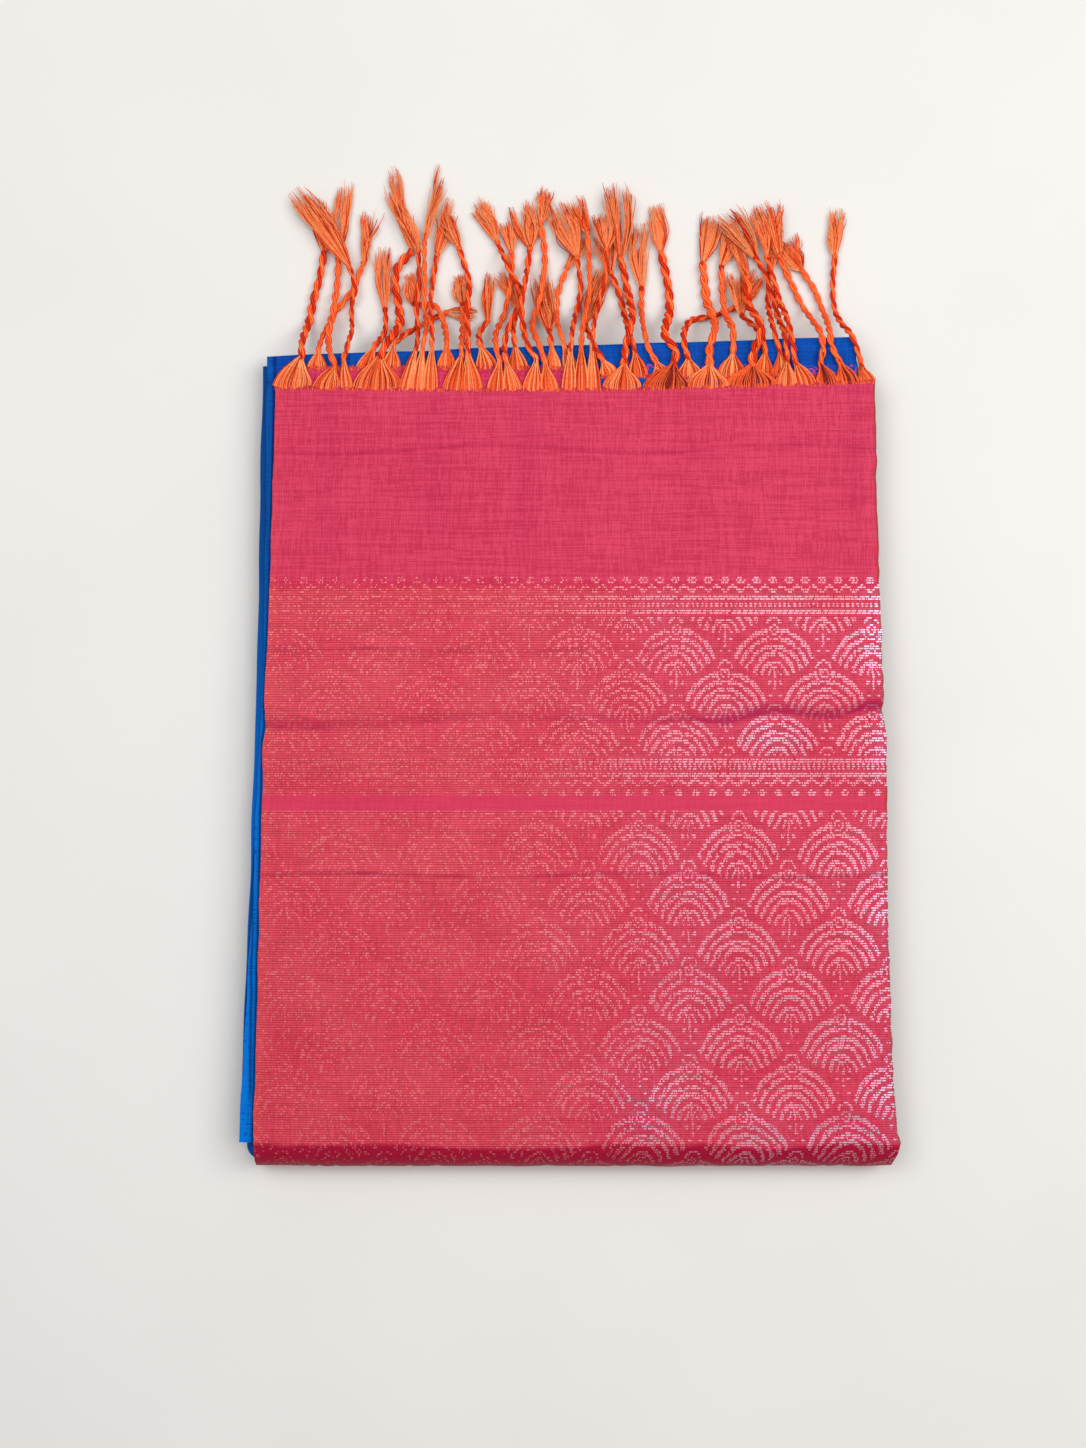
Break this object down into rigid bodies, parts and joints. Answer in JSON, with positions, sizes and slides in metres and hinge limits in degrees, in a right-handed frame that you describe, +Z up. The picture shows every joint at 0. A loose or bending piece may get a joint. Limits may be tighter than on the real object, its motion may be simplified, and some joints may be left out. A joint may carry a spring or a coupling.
{
  "type": "folded silk saree",
  "caption": "Saree folded flat into a thin layered block, its woven end piece on top turned round the bottom fold, with rows of twisted tassels lying past the other end.",
  "frame": {"origin": "on the floor under the middle of the folded cloth and its tassels", "axes": "+Y along the longest side towards the tassels, +X to the right of someone looking down on the end piece, +Z up off the surface it lies on"},
  "size_m": [0.31, 0.4719, 0.0256],
  "materials": {
    "rose_silk": "satin shot silk with a metallic thread brocade",
    "blue_silk": "satin silk",
    "orange_thread": "twisted silk thread with a soft sheen"
  },
  "bodies": {
    "root": {"pallu_front": "rose_silk", "pallu_second": "rose_silk", "border_fold": "blue_silk", "border_inner_fold": "blue_silk", "body_upper_fold": "blue_silk", "body_lower_fold": "blue_silk", "hidden_layers": "blue_silk", "tassels_front": "orange_thread", "tassels_second_left": "orange_thread", "tassels_second_right": "orange_thread"}
  },
  "joints": []
}
